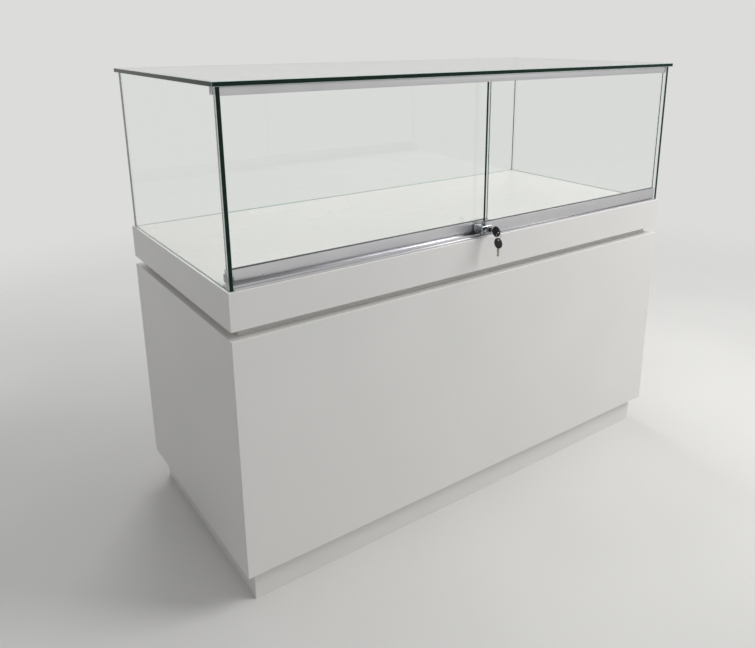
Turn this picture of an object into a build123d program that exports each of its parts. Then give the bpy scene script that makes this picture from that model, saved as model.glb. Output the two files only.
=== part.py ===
from build123d import *
import os

# Jewelry display counter: a closed white cabinet on a recessed plinth, a recessed neck, a deck,
# and a glass case whose front is two sliding glass doors with rollers, a cylinder lock and keys.
# X runs along the counter, the doors face -Y, and Z is up. The origin is on the floor, in the
# middle of the counter. All sizes are in millimetres.

os.makedirs("parts", exist_ok=True)

# Overall sizes
length = 1200.0
depth = 550.0
plinth_height = 70.0
body_height = 490.0
neck_height = 18.0
deck_height = 72.0
case_height = 350.0

# Boards
board = 18.0
edge_radius = 1.0
small_break = 0.5
plinth_recess = 20.0
neck_recess = 22.0
floor_board = 16.0
deck_bottom_board = 10.0
rebate = 9.0
bearer_spacing = 400.0

# Glass case
pane = 8.0
pane_edge = 0.5
pane_inset = 5.0
top_overhang = 2.0
door_pane = 6.0

# Door tracks
track_inset = 3.0
track_edge = 9.0
door_pitch = 18.0
track_wall = 1.6
top_track_height = 15.0
liner_wall = 0.8
liner_height = 11.0
bottom_track_base = 2.0
rail_width = 1.6
rail_height = 5.0
lip_width = 1.2
lip_height = 1.5

# Doors
door_overlap = 24.0
door_bumper = 3.0
bumper_width = 8.0
bumper_height = 14.0
shoe_width = 13.0
shoe_wall = 1.5
shoe_pocket = 8.0
shoe_web = 3.0
shoe_lift = 1.5
gasket_floor = 1.5
end_cap = 1.5
door_head_gap = 4.5

# Rollers
roller_radius = 7.5
roller_tread_radius = 5.0
roller_width = 7.0
axle_radius = 1.5
roller_from_end = 60.0

# Lock and keys
lock_wall = 1.5
lock_height = 19.0
lock_proud = 11.5
lock_overhang = 20.0
lock_corner = 2.0
lock_rear_gap = 1.5
lock_from_edge = 2.0
barrel_radius = 6.5
barrel_proud = 2.0
plug_radius = 5.0
plug_proud = 1.0
bolt_radius = 2.5
bolt_length = 9.0
bow_radius = 11.5
bow_thickness = 3.0
bow_hole_radius = 2.2
bow_rim = 2.0
blade_thickness = 1.8
blade_height = 6.4
blade_length = 18.0
blade_in_plug = 12.0
tang = 4.0
bow_round = 0.8
cut_count = 4
cut_pitch = 2.4
cut_from_tip = 4.5
cut_depth = 1.5
groove_width = 1.2
groove_depth = 0.5
ring_radius = 7.2
ring_wire = 0.7

# Fasteners
dowel_radius = 4.0
dowel_length = 34.0
dowel_in_panel = 12.0
dowel_spacing = 300.0
block = 40.0
block_up = 10.0
screw_shank = 2.25
screw_head = 4.2
screw_head_depth = 2.8
plinth_screw_bite = 8.0
neck_screw_bite = 14.0
neck_screw_from_middle = 180.0
track_screw_shank = 1.5
track_screw_head = 3.0
track_screw_head_depth = 1.6
track_screw_length = 14.0
track_screw_count = 5
track_screw_from_end = 90.0
lock_screw_shank = 1.1
lock_screw_head = 1.9
lock_screw_proud = 1.0
lock_screw_length = 9.0
lock_screw_spacing = 8.5
lock_screw_down = 4.8

# Clearances
running_gap = 0.05
glass_side_gap = 0.2
groove_gap = 0.5
notch_gap = 1.2
roller_head_gap = 0.8
seat_gap = 0.1
tread_gap = 0.2
bumper_gap = 0.5
rail_gap = 1.0
strike_gap = 0.3
hang_gap = 0.4
hole_end_gap = 0.5

# Levels
plinth_top = plinth_height
body_top = plinth_top + body_height
neck_top = body_top + neck_height
deck_top = neck_top + deck_height
case_top = deck_top + case_height
pane_top = case_top - pane
low_board_top = plinth_top + board
high_board_low = body_top - board
deck_bottom_top = neck_top + deck_bottom_board
floor_low = deck_top - floor_board

plinth_screw_length = plinth_height - block_up + plinth_screw_bite
neck_screw_length = board + neck_height + deck_bottom_board + neck_screw_bite

# Half sizes of the plan
half_x = length / 2
half_y = depth / 2
inner_x = half_x - board
inner_y = half_y - board
pane_x = half_x - pane_inset
pane_y = half_y - pane_inset
clear_x = pane_x - pane

# Sizes of the profiles, from what runs in them
top_slot = door_pane + 2 * (liner_wall + glass_side_gap)
bottom_track_width = door_pitch + 2 * track_edge
roller_groove = rail_width + 2 * groove_gap
cap_notch = rail_width + 2 * notch_gap
rolling_radius = roller_tread_radius + tread_gap
channel_height = rail_height - shoe_lift + rolling_radius + roller_radius + roller_head_gap
shoe_height = channel_height + shoe_web + shoe_pocket
shoe_inner = shoe_width - 2 * shoe_wall

# Places of the tracks and doors
track_y = -half_y + track_inset + bottom_track_width / 2
front_y = track_y - door_pitch / 2
rear_y = track_y + door_pitch / 2
rail_low = deck_top + bottom_track_base
rail_top = rail_low + rail_height
shoe_low = rail_low + shoe_lift
shoe_top = shoe_low + shoe_height
axle_z = rail_top + rolling_radius
glass_low = shoe_top - shoe_pocket + gasket_floor
glass_high = pane_top - track_wall - door_head_gap
stop_x = clear_x - door_bumper - bumper_gap
door_width = stop_x + door_overlap / 2
door_travel = 2 * stop_x - door_width
front_door_travel = door_travel - lock_overhang

# Places of the lock and keys
front_door_left = stop_x - door_width
shoe_face = front_y - shoe_width / 2
lock_x = front_door_left + lock_from_edge
lock_width = lock_overhang + lock_from_edge + barrel_radius + lock_wall
lock_z = (shoe_low + shoe_top) / 2
lock_face = shoe_face - lock_proud
lock_back = rear_y - shoe_width / 2 - lock_rear_gap
bolt_x = front_door_left - lock_overhang / 2
plug_face = lock_face - barrel_proud - plug_proud
key_y = plug_face - (blade_length - blade_in_plug) - bow_radius
bow_hole_out = bow_radius - bow_rim - bow_hole_radius
hole_y = key_y - bow_hole_out
ring_drop = bow_hole_radius - ring_wire - hang_gap
ring_top = lock_z - ring_drop
ring_z = ring_top - ring_radius
ring_low = ring_z - ring_radius
spare_z = ring_low - ring_drop - bow_hole_out

LOW = (Align.CENTER, Align.CENTER, Align.MIN)


def keep(piece, name):
    """Labels a finished piece and writes it under its own name."""
    piece.label = name
    export_step(piece, f"parts/{name}.step")


def slab(x, y, z, mode=Mode.ADD):
    """A flat-sided block in the piece being built, between its limits along X, Y and Z."""
    with Locations(((x[0] + x[1]) / 2, (y[0] + y[1]) / 2, (z[0] + z[1]) / 2)):
        Box(x[1] - x[0], y[1] - y[0], z[1] - z[0], mode=mode)


def drill(places, radius, reach):
    """Round holes in the piece being built, each centred on its place."""
    with Locations(*places):
        Cylinder(radius, reach, mode=Mode.SUBTRACT)


def screw_holes(places, shank, head, head_depth, reach):
    """Countersunk holes in the piece being built, with a small gap all round the screw."""
    with Locations(*places):
        Cone(head + seat_gap, shank + seat_gap, head_depth, align=LOW, mode=Mode.SUBTRACT)
        Cylinder(shank + seat_gap, reach + hole_end_gap, align=LOW, mode=Mode.SUBTRACT)


def screws(places, shank, head, head_depth, reach):
    """Countersunk screws with a cross recess, each going in along its place's own Z."""
    recess_width = shank / 2
    with BuildPart() as group:
        with Locations(*places):
            Cone(head, shank, head_depth, align=LOW)
            Cylinder(shank, reach, align=LOW)
            Box(head, recess_width, head_depth, mode=Mode.SUBTRACT)
            Box(recess_width, head, head_depth, mode=Mode.SUBTRACT)
    return group.part


# Places of the fasteners: each is a plane whose Z runs along the fastener
dowel_middle = board - dowel_in_panel + dowel_length / 2
panel_dowels = {}
for side, name in ((-1, "front"), (1, "back")):
    panel_dowels[name] = [
        Plane((x * dowel_spacing, side * (half_y - dowel_middle), z), z_dir=(0, 1, 0))
        for x in (-1.5, -0.5, 0.5, 1.5)
        for z in (plinth_top + board / 2, body_top - board / 2)
    ]
for side, name in ((-1, "left"), (1, "right")):
    panel_dowels[name] = [
        Plane((side * (half_x - dowel_middle), y * dowel_spacing, z), z_dir=(1, 0, 0))
        for y in (-0.5, 0.5)
        for z in (plinth_top + board / 2, body_top - board / 2)
    ]
low_dowels = [p for row in panel_dowels.values() for p in row if p.origin.Z < body_top / 2]
high_dowels = [p for row in panel_dowels.values() for p in row if p.origin.Z > body_top / 2]

block_x = half_x - plinth_recess - board - block / 2
block_y = half_y - plinth_recess - board - block / 2
block_places = [(x * block_x, y * block_y) for x in (-1, 1) for y in (-1, 1)]
plinth_screw_places = [Plane((x, y, block_up)) for x, y in block_places]
neck_screw_places = [
    Plane((x * bearer_spacing, y * neck_screw_from_middle, high_board_low))
    for x in (-1, 1)
    for y in (-1, 1)
]
track_screw_span = 2 * (clear_x - track_screw_from_end)
track_screw_places = [
    Plane(
        (track_screw_span * (i / (track_screw_count - 1) - 0.5), track_y, rail_low),
        z_dir=(0, 0, -1),
    )
    for i in range(track_screw_count)
]

# Plinth: four boards on edge, a stretcher and screwed corner blocks under the cabinet
plinth_x = half_x - plinth_recess
plinth_y = half_y - plinth_recess
for side, name in ((-1, "front"), (1, "back")):
    with BuildPart() as plinth_long:
        slab(
            (-plinth_x, plinth_x),
            sorted((side * plinth_y, side * (plinth_y - board))),
            (0, plinth_top),
        )
        ends = plinth_long.edges().filter_by(Axis.Z).group_by(Axis.Y)[0 if side < 0 else -1]
        fillet(ends, edge_radius)
    keep(plinth_long.part, f"plinth_{name}")

plinth_inner_y = plinth_y - board
for side, name in ((-1, "left"), (1, "right")):
    with BuildPart() as plinth_end:
        slab(
            sorted((side * plinth_x, side * (plinth_x - board))),
            (-plinth_inner_y, plinth_inner_y),
            (0, plinth_top),
        )
    keep(plinth_end.part, f"plinth_{name}")

with BuildPart() as plinth_stretcher:
    slab((-board / 2, board / 2), (-plinth_inner_y, plinth_inner_y), (0, plinth_top))
keep(plinth_stretcher.part, "plinth_stretcher")

with BuildPart() as plinth_blocks:
    with BuildSketch(Plane.XY.offset(block_up)):
        with Locations(*block_places):
            Rectangle(block, block)
    extrude(amount=plinth_top - block_up)
    screw_holes(
        plinth_screw_places, screw_shank, screw_head, screw_head_depth, plinth_screw_length
    )
keep(plinth_blocks.part, "plinth_blocks")
keep(
    screws(plinth_screw_places, screw_shank, screw_head, screw_head_depth, plinth_screw_length),
    "plinth_screws",
)

# Cabinet: a closed carcass, its front and back panels covering the ends of its side panels
with BuildPart() as cabinet_bottom:
    slab((-inner_x, inner_x), (-inner_y, inner_y), (plinth_top, low_board_top))
    drill(low_dowels, dowel_radius + seat_gap, dowel_length + 2 * hole_end_gap)
    screw_holes(
        plinth_screw_places, screw_shank, screw_head, screw_head_depth, plinth_screw_length
    )
keep(cabinet_bottom.part, "cabinet_bottom")

with BuildPart() as cabinet_top:
    slab((-inner_x, inner_x), (-inner_y, inner_y), (high_board_low, body_top))
    drill(high_dowels, dowel_radius + seat_gap, dowel_length + 2 * hole_end_gap)
    screw_holes(
        neck_screw_places, screw_shank, screw_head, screw_head_depth, neck_screw_length
    )
keep(cabinet_top.part, "cabinet_top")

with BuildPart() as cabinet_divider:
    slab((-board / 2, board / 2), (-inner_y, inner_y), (low_board_top, high_board_low))
keep(cabinet_divider.part, "cabinet_divider")

for side, name in ((-1, "front"), (1, "back")):
    inner_face = 0 if side > 0 else -1
    with BuildPart() as cabinet_long:
        slab(
            (-half_x, half_x),
            sorted((side * half_y, side * inner_y)),
            (plinth_top, body_top),
        )
        inner_edges = cabinet_long.edges().group_by(Axis.Y)[inner_face]
        fillet(cabinet_long.edges() - inner_edges, edge_radius)
        drill(panel_dowels[name], dowel_radius + seat_gap, dowel_length + 2 * hole_end_gap)
    keep(cabinet_long.part, f"cabinet_{name}")

for side, name in ((-1, "left"), (1, "right")):
    with BuildPart() as cabinet_end:
        slab(
            sorted((side * half_x, side * inner_x)),
            (-inner_y, inner_y),
            (plinth_top, body_top),
        )
        outer = cabinet_end.edges().group_by(Axis.X)[0 if side < 0 else -1]
        fillet(outer.filter_by(Axis.Y), edge_radius)
        drill(panel_dowels[name], dowel_radius + seat_gap, dowel_length + 2 * hole_end_gap)
    keep(cabinet_end.part, f"cabinet_{name}")

with BuildPart() as cabinet_dowels:
    with Locations(*low_dowels, *high_dowels):
        Cylinder(dowel_radius, dowel_length)
    ends = cabinet_dowels.edges().filter_by(GeomType.CIRCLE)
    chamfer(ends, small_break)
keep(cabinet_dowels.part, "cabinet_dowels")

# Neck: one set-in board that leaves the shadow gap between cabinet and deck
neck_x = half_x - neck_recess
neck_y = half_y - neck_recess
with BuildPart() as neck_board:
    slab((-neck_x, neck_x), (-neck_y, neck_y), (body_top, neck_top))
    screw_holes(
        neck_screw_places, screw_shank, screw_head, screw_head_depth, neck_screw_length
    )
keep(neck_board.part, "neck_board")
keep(
    screws(neck_screw_places, screw_shank, screw_head, screw_head_depth, neck_screw_length),
    "neck_screws",
)

# Deck: a hollow box of rails and bearers that carries the display floor in a rebate
with BuildPart() as deck_bottom:
    slab((-inner_x, inner_x), (-inner_y, inner_y), (neck_top, deck_bottom_top))
    screw_holes(
        neck_screw_places, screw_shank, screw_head, screw_head_depth, neck_screw_length
    )
keep(deck_bottom.part, "deck_bottom")

floor_x = inner_x + rebate
floor_y = inner_y + rebate
for side, name in ((-1, "front"), (1, "back")):
    inner_face = 0 if side > 0 else -1
    with BuildPart() as deck_long:
        slab(
            (-half_x, half_x),
            sorted((side * half_y, side * inner_y)),
            (neck_top, deck_top),
        )
        inner_edges = deck_long.edges().group_by(Axis.Y)[inner_face]
        fillet(deck_long.edges() - inner_edges, edge_radius)
        with BuildSketch(Plane.XY.offset(floor_low)):
            Rectangle(2 * floor_x, 2 * floor_y)
        extrude(amount=floor_board, mode=Mode.SUBTRACT)
    keep(deck_long.part, f"deck_{name}_rail")

for side, name in ((-1, "left"), (1, "right")):
    with BuildPart() as deck_end:
        slab(
            sorted((side * half_x, side * inner_x)),
            (-inner_y, inner_y),
            (neck_top, deck_top),
        )
        outer = deck_end.edges().group_by(Axis.X)[0 if side < 0 else -1]
        fillet(outer.filter_by(Axis.Y), edge_radius)
        with BuildSketch(Plane.XY.offset(floor_low)):
            Rectangle(2 * floor_x, 2 * floor_y)
        extrude(amount=floor_board, mode=Mode.SUBTRACT)
    keep(deck_end.part, f"deck_{name}_rail")

for step, name in ((-1, "left"), (0, "centre"), (1, "right")):
    bearer_x = step * bearer_spacing
    with BuildPart() as deck_bearer:
        slab(
            (bearer_x - board / 2, bearer_x + board / 2),
            (-inner_y, inner_y),
            (deck_bottom_top, floor_low),
        )
        screw_holes(
            neck_screw_places, screw_shank, screw_head, screw_head_depth, neck_screw_length
        )
    keep(deck_bearer.part, f"deck_bearer_{name}")

with BuildPart() as display_floor:
    slab((-floor_x, floor_x), (-floor_y, floor_y), (floor_low, deck_top))
    screw_holes(
        track_screw_places,
        track_screw_shank,
        track_screw_head,
        track_screw_head_depth,
        track_screw_length,
    )
keep(display_floor.part, "display_floor")

# Glass case: two side panes, a back pane between them and a top that overhangs all four sides
for side, name in ((-1, "left"), (1, "right")):
    with BuildPart() as glass_end:
        slab(
            sorted((side * pane_x, side * clear_x)),
            (-pane_y, pane_y),
            (deck_top, pane_top),
        )
        front = glass_end.edges().filter_by(Axis.Z).group_by(Axis.Y)[0]
        chamfer(front, pane_edge)
    keep(glass_end.part, f"glass_{name}")

with BuildPart() as glass_back:
    slab((-clear_x, clear_x), (pane_y - pane, pane_y), (deck_top, pane_top))
keep(glass_back.part, "glass_back")

top_x = half_x + top_overhang
top_y = half_y + top_overhang
with BuildPart() as glass_top:
    slab((-top_x, top_x), (-top_y, top_y), (pane_top, case_top))
    rim = glass_top.edges() - glass_top.edges().filter_by(Axis.Z)
    chamfer(rim, pane_edge)
keep(glass_top.part, "glass_top")

# Top track: an aluminium profile under the top pane, with a plastic liner in each slot
top_track_width = door_pitch + top_slot + 2 * track_wall
top_track_low = pane_top - top_track_height
slot_height = top_track_height - track_wall
core_width = door_pitch - top_slot - 2 * track_wall
end_plane = Plane((-clear_x, track_y, 0), x_dir=(0, 1, 0), z_dir=(1, 0, 0))
with BuildPart() as top_track:
    with BuildSketch(end_plane):
        with Locations((0, top_track_low + top_track_height / 2)):
            Rectangle(top_track_width, top_track_height)
        with Locations((0, top_track_low + top_track_height / 2)):
            Rectangle(core_width, top_track_height - 2 * track_wall, mode=Mode.SUBTRACT)
        with Locations(
            (-door_pitch / 2, top_track_low + slot_height / 2),
            (door_pitch / 2, top_track_low + slot_height / 2),
        ):
            Rectangle(top_slot, slot_height, mode=Mode.SUBTRACT)
    extrude(amount=2 * clear_x)
keep(top_track.part, "top_track")

liner_low = pane_top - track_wall - liner_height
with BuildPart() as top_track_liners:
    with BuildSketch(end_plane):
        with Locations(
            (-door_pitch / 2, liner_low + liner_height / 2),
            (door_pitch / 2, liner_low + liner_height / 2),
        ):
            Rectangle(top_slot, liner_height)
        with Locations(
            (-door_pitch / 2, liner_low + (liner_height - liner_wall) / 2),
            (door_pitch / 2, liner_low + (liner_height - liner_wall) / 2),
        ):
            Rectangle(
                top_slot - 2 * liner_wall, liner_height - liner_wall, mode=Mode.SUBTRACT
            )
    extrude(amount=2 * clear_x)
keep(top_track_liners.part, "top_track_liners")

# Bottom track: a flat aluminium base with two rails and a lip along each edge
with BuildPart() as bottom_track:
    with BuildSketch(end_plane):
        with Locations((0, deck_top + bottom_track_base / 2)):
            Rectangle(bottom_track_width, bottom_track_base)
        with Locations(
            (-door_pitch / 2, rail_low + rail_height / 2),
            (door_pitch / 2, rail_low + rail_height / 2),
        ):
            Rectangle(rail_width, rail_height)
        with Locations(
            (-(bottom_track_width - lip_width) / 2, rail_low + lip_height / 2),
            ((bottom_track_width - lip_width) / 2, rail_low + lip_height / 2),
        ):
            Rectangle(lip_width, lip_height)
    extrude(amount=2 * clear_x)
    screw_holes(
        track_screw_places,
        track_screw_shank,
        track_screw_head,
        track_screw_head_depth,
        track_screw_length,
    )
keep(bottom_track.part, "bottom_track")
keep(
    screws(
        track_screw_places,
        track_screw_shank,
        track_screw_head,
        track_screw_head_depth,
        track_screw_length,
    ),
    "bottom_track_screws",
)

with BuildPart() as door_bumpers:
    with BuildSketch(Plane.XY.offset(lock_z - bumper_height / 2)):
        with Locations(
            *[
                (side * (clear_x - door_bumper / 2), y)
                for side in (-1, 1)
                for y in (front_y, rear_y)
            ]
        ):
            Rectangle(door_bumper, bumper_width)
    extrude(amount=bumper_height)
keep(door_bumpers.part, "door_bumpers")


def roller_places(left, y):
    """The axle centres of a door, each a plane whose Z runs along the axle."""
    return [
        Plane((x, y, axle_z), z_dir=(0, 1, 0))
        for x in (left + roller_from_end, left + door_width - roller_from_end)
    ]


def shoe(left, y):
    """A door's bottom rail: a roller channel below, a web, and a pocket for the glass above."""
    with BuildPart() as rail:
        with BuildSketch(Plane((left + end_cap, y, shoe_low), x_dir=(0, 1, 0), z_dir=(1, 0, 0))):
            with Locations((0, shoe_height / 2)):
                Rectangle(shoe_width, shoe_height)
            with Locations((0, channel_height / 2)):
                Rectangle(shoe_inner, channel_height, mode=Mode.SUBTRACT)
            with Locations((0, shoe_height - shoe_pocket / 2)):
                Rectangle(shoe_inner, shoe_pocket, mode=Mode.SUBTRACT)
        extrude(amount=door_width - 2 * end_cap)
        drill(roller_places(left, y), axle_radius + running_gap, shoe_width + 2 * seat_gap)
    return rail


def gasket(left, y):
    """The soft strip that wraps the lower edge of a door's glass and fills the pocket."""
    with BuildPart() as strip:
        with BuildSketch(
            Plane((left + end_cap, y, shoe_top - shoe_pocket), x_dir=(0, 1, 0), z_dir=(1, 0, 0))
        ):
            with Locations((0, shoe_pocket / 2)):
                Rectangle(shoe_inner, shoe_pocket)
            with Locations((0, (shoe_pocket + gasket_floor) / 2)):
                Rectangle(door_pane, shoe_pocket - gasket_floor, mode=Mode.SUBTRACT)
        extrude(amount=door_width - 2 * end_cap)
    return strip


def end_caps(left, y):
    """The two plates that close a shoe's ends, each notched to pass over the rail."""
    notch_height = rail_top - shoe_low + rail_gap
    with BuildPart() as caps:
        for x in (left, left + door_width - end_cap):
            with BuildSketch(Plane((x, y, shoe_low), x_dir=(0, 1, 0), z_dir=(1, 0, 0))):
                with Locations((0, shoe_height / 2)):
                    Rectangle(shoe_width, shoe_height)
                with Locations((0, notch_height / 2)):
                    Rectangle(cap_notch, notch_height, mode=Mode.SUBTRACT)
            extrude(amount=end_cap)
    return caps


def door_glass(left, y):
    """A door's pane, from the floor of the gasket up into the top track."""
    with BuildPart() as sheet:
        slab(
            (left + end_cap, left + door_width - end_cap),
            (y - door_pane / 2, y + door_pane / 2),
            (glass_low, glass_high),
        )
        uprights = sheet.edges().filter_by(Axis.Z)
        chamfer(uprights, pane_edge)
    return sheet


def roller(place):
    """A grooved roller round its axle, its groove straddling the rail."""
    bore = axle_radius + running_gap
    side = roller_width / 2
    groove = roller_groove / 2
    with BuildPart() as wheel:
        with BuildSketch(Plane(place.origin)):
            with BuildLine():
                Polyline(
                    (bore, -side),
                    (roller_radius - small_break, -side),
                    (roller_radius, -side + small_break),
                    (roller_radius, -groove - small_break),
                    (roller_radius - small_break, -groove),
                    (roller_tread_radius, -groove),
                    (roller_tread_radius, groove),
                    (roller_radius - small_break, groove),
                    (roller_radius, groove + small_break),
                    (roller_radius, side - small_break),
                    (roller_radius - small_break, side),
                    (bore, side),
                    close=True,
                )
            make_face()
        revolve(axis=Axis(place.origin, (0, 1, 0)))
    return wheel


# Doors: the front one closes the right half, the rear one the left half
strike_plane = Plane((bolt_x, rear_y - shoe_width / 2, lock_z), z_dir=(0, 1, 0))
for name, left, y in (("front", front_door_left, front_y), ("rear", -stop_x, rear_y)):
    places = roller_places(left, y)
    door_shoe = shoe(left, y)
    if name == "rear":
        with door_shoe:
            drill([strike_plane], bolt_radius + strike_gap, 2 * shoe_wall + strike_gap)
    keep(door_shoe.part, f"{name}_door_shoe")
    keep(gasket(left, y).part, f"{name}_door_gasket")
    keep(end_caps(left, y).part, f"{name}_door_end_caps")
    keep(door_glass(left, y).part, f"{name}_door_glass")
    with BuildPart() as axles:
        with Locations(*places):
            Cylinder(axle_radius, shoe_width)
    keep(axles.part, f"{name}_door_axles")
    for place, end in zip(places, ("left", "right")):
        keep(roller(place).part, f"{name}_roller_{end}")

# Lock: a case clamped round the left end of the front door's shoe, with a barrel and plug
lock_left = front_door_left - lock_overhang
lock_right = lock_left + lock_width
lock_low = lock_z - lock_height / 2
lock_high = lock_z + lock_height / 2
lock_plane = Plane((lock_x, lock_face, lock_z), z_dir=(0, 1, 0))
near_screw_x = lock_x - barrel_radius - lock_screw_head - seat_gap
lock_screw_places = [
    Plane((x, lock_face, lock_z - lock_screw_down), z_dir=(0, 1, 0))
    for x in (near_screw_x - lock_screw_spacing, near_screw_x)
]
with BuildPart() as lock_case:
    slab((lock_left, lock_right), (lock_face, shoe_face), (lock_low, lock_high))
    slab((lock_left, front_door_left), (shoe_face, lock_back), (lock_low, lock_high))
    rounded = lock_case.edges().group_by(Axis.Y)[0] + lock_case.edges().group_by(Axis.X)[0]
    fillet(rounded, lock_corner)
    drill([lock_plane], barrel_radius + running_gap, 2 * lock_proud + running_gap)
    bolt_plane = Plane((bolt_x, lock_back, lock_z), z_dir=(0, -1, 0))
    with Locations(bolt_plane):
        Cylinder(
            bolt_radius + running_gap,
            bolt_length + hole_end_gap,
            align=LOW,
            mode=Mode.SUBTRACT,
        )
    with Locations(*lock_screw_places):
        Cylinder(
            lock_screw_shank + running_gap,
            lock_screw_length + hole_end_gap,
            align=LOW,
            mode=Mode.SUBTRACT,
        )
keep(lock_case.part, "lock_case")

with BuildPart() as lock_screws:
    with Locations(*lock_screw_places):
        Cylinder(lock_screw_shank, lock_screw_length, align=LOW)
        with Locations((0, 0, -lock_screw_proud)):
            Cylinder(lock_screw_head, lock_screw_proud, align=LOW)
            Box(
                2 * lock_screw_head, lock_screw_shank / 2, lock_screw_proud, mode=Mode.SUBTRACT
            )
keep(lock_screws.part, "lock_screws")

with BuildPart() as lock_bolt:
    with Locations(bolt_plane):
        Cylinder(bolt_radius, bolt_length, align=LOW)
    chamfer(lock_bolt.edges().group_by(Axis.Y)[-1], small_break)
keep(lock_bolt.part, "lock_bolt")

barrel_plane = Plane((lock_x, lock_face - barrel_proud, lock_z), z_dir=(0, 1, 0))
barrel_length = barrel_proud + lock_proud - seat_gap
with BuildPart() as lock_barrel:
    with Locations(barrel_plane):
        Cylinder(barrel_radius, barrel_length, align=LOW)
    fillet(lock_barrel.edges().group_by(Axis.Y)[0], small_break)
    with Locations(barrel_plane):
        Cylinder(plug_radius + running_gap, barrel_length, align=LOW, mode=Mode.SUBTRACT)
keep(lock_barrel.part, "lock_barrel")

keyway_depth = blade_in_plug + hole_end_gap
plug_plane = Plane((lock_x, plug_face, lock_z), z_dir=(0, 1, 0))
with BuildPart() as lock_plug:
    with Locations(plug_plane):
        Cylinder(plug_radius, plug_proud + barrel_length - seat_gap, align=LOW)
    fillet(lock_plug.edges().group_by(Axis.Y)[0], small_break)
    slab(
        (lock_x - blade_thickness / 2 - seat_gap, lock_x + blade_thickness / 2 + seat_gap),
        (plug_face, plug_face + keyway_depth),
        (lock_z - blade_height / 2 - seat_gap, lock_z + blade_height / 2 + seat_gap),
        mode=Mode.SUBTRACT,
    )
keep(lock_plug.part, "lock_plug")


def key_bow(plane):
    """A key's round plastic grip, with the ring hole opposite its blade along the plane's X."""
    with BuildPart() as bow:
        with BuildSketch(plane.offset(-bow_thickness / 2)):
            Circle(bow_radius)
            with Locations((-bow_hole_out, 0)):
                Circle(bow_hole_radius, mode=Mode.SUBTRACT)
        extrude(amount=bow_thickness)
        rims = bow.edges().filter_by(GeomType.CIRCLE)
        fillet(rims, bow_round)
        with BuildSketch(plane.offset(-blade_thickness / 2)):
            with Locations((bow_radius - tang / 2, 0)):
                Rectangle(tang, blade_height)
        extrude(amount=blade_thickness, mode=Mode.SUBTRACT)
    return bow


def key_blade(plane):
    """A key's flat blade, with its tang in the bow, a row of cuts and a pointed tip."""
    start = bow_radius - tang
    tip = bow_radius + blade_length
    half = blade_height / 2
    with BuildPart() as blade:
        with BuildSketch(plane.offset(-blade_thickness / 2)):
            with BuildLine():
                Polyline(
                    (start, -half),
                    (tip - half, -half),
                    (tip, -half / 3),
                    (tip, half / 3),
                    (tip - half, half),
                    (start, half),
                    close=True,
                )
            make_face()
            with Locations(*[(tip - cut_from_tip - i * cut_pitch, half) for i in range(cut_count)]):
                RegularPolygon(cut_depth, 4, rotation=45, mode=Mode.SUBTRACT)
        extrude(amount=blade_thickness)
        with BuildSketch(plane.offset(blade_thickness / 2)):
            with Locations((bow_radius + blade_length / 2, -half / 3)):
                Rectangle(blade_length, groove_width)
        extrude(amount=-groove_depth, mode=Mode.SUBTRACT)
    return blade


# Keys: one in the plug, and a spare that hangs from its bow on a wire ring
key_plane = Plane((lock_x, key_y, lock_z), x_dir=(0, 1, 0), z_dir=(1, 0, 0))
spare_plane = Plane((lock_x, hole_y, spare_z), x_dir=(0, 0, -1), z_dir=(1, 0, 0))
keep(key_bow(key_plane).part, "key_bow")
keep(key_blade(key_plane).part, "key_blade")
keep(key_bow(spare_plane).part, "spare_key_bow")
keep(key_blade(spare_plane).part, "spare_key_blade")

with BuildPart() as key_ring:
    with Locations(Plane((lock_x, hole_y, ring_z), z_dir=(0, 1, 0))):
        Torus(ring_radius, ring_wire)
keep(key_ring.part, "key_ring")

# Places and travels that the joints use
print("front door slides", -front_door_travel, "to 0, rear door 0 to", door_travel)
print("rolling radius", rolling_radius)
for left, y in ((front_door_left, front_y), (-stop_x, rear_y)):
    print("roller axles", [tuple(p.origin) for p in roller_places(left, y)])
print("plug axis through", (lock_x, lock_face, lock_z))
print("ring hangs at", (lock_x, hole_y, ring_top), "spare key at", (lock_x, hole_y, ring_low))
print("display space", (clear_x, rear_y + shoe_width / 2, pane_y - pane, deck_top, pane_top))
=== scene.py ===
# %% [markdown]
# # A jewelry display counter
# The counter is a closed white base on a set-in plinth, a white deck above a shadow gap, and a glass
# case whose front is two sliding glass doors. This lesson dresses it for a picture. The boards come
# from the construction model as they are and only get their finish. The glass, the aluminium
# profiles, the lock and the keys are modelled again here, because polished edges and small roundings
# are what make such things look real.

# %% Load the construction model
from math import hypot, pi, radians

import bpy
from mathutils import Matrix, Vector


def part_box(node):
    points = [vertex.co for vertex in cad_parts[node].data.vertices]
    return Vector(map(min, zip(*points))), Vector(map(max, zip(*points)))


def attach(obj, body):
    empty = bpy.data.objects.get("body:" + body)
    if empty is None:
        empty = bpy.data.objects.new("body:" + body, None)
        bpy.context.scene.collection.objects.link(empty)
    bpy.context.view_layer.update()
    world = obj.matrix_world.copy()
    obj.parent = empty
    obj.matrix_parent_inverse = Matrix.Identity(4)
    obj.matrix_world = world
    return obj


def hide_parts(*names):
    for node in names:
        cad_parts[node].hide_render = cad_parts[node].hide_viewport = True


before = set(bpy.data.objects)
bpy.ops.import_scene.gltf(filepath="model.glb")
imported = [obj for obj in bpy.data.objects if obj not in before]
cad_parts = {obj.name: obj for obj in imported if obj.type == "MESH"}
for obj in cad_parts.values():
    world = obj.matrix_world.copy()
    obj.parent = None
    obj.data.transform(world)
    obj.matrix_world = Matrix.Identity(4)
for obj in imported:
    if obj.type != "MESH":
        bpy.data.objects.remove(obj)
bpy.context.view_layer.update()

# %% [markdown]
# Blender works in metres here, and millimetres are easier to think in. So sizes are written in
# millimetres and turned into metres by one short function.

# %% Units
MM = 0.001


def mm(x, y, z):
    """A place or a size that is given in millimetres, in metres."""
    return Vector((x, y, z)) * MM


print("one metre is", round(1 / MM), "mm")

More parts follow.
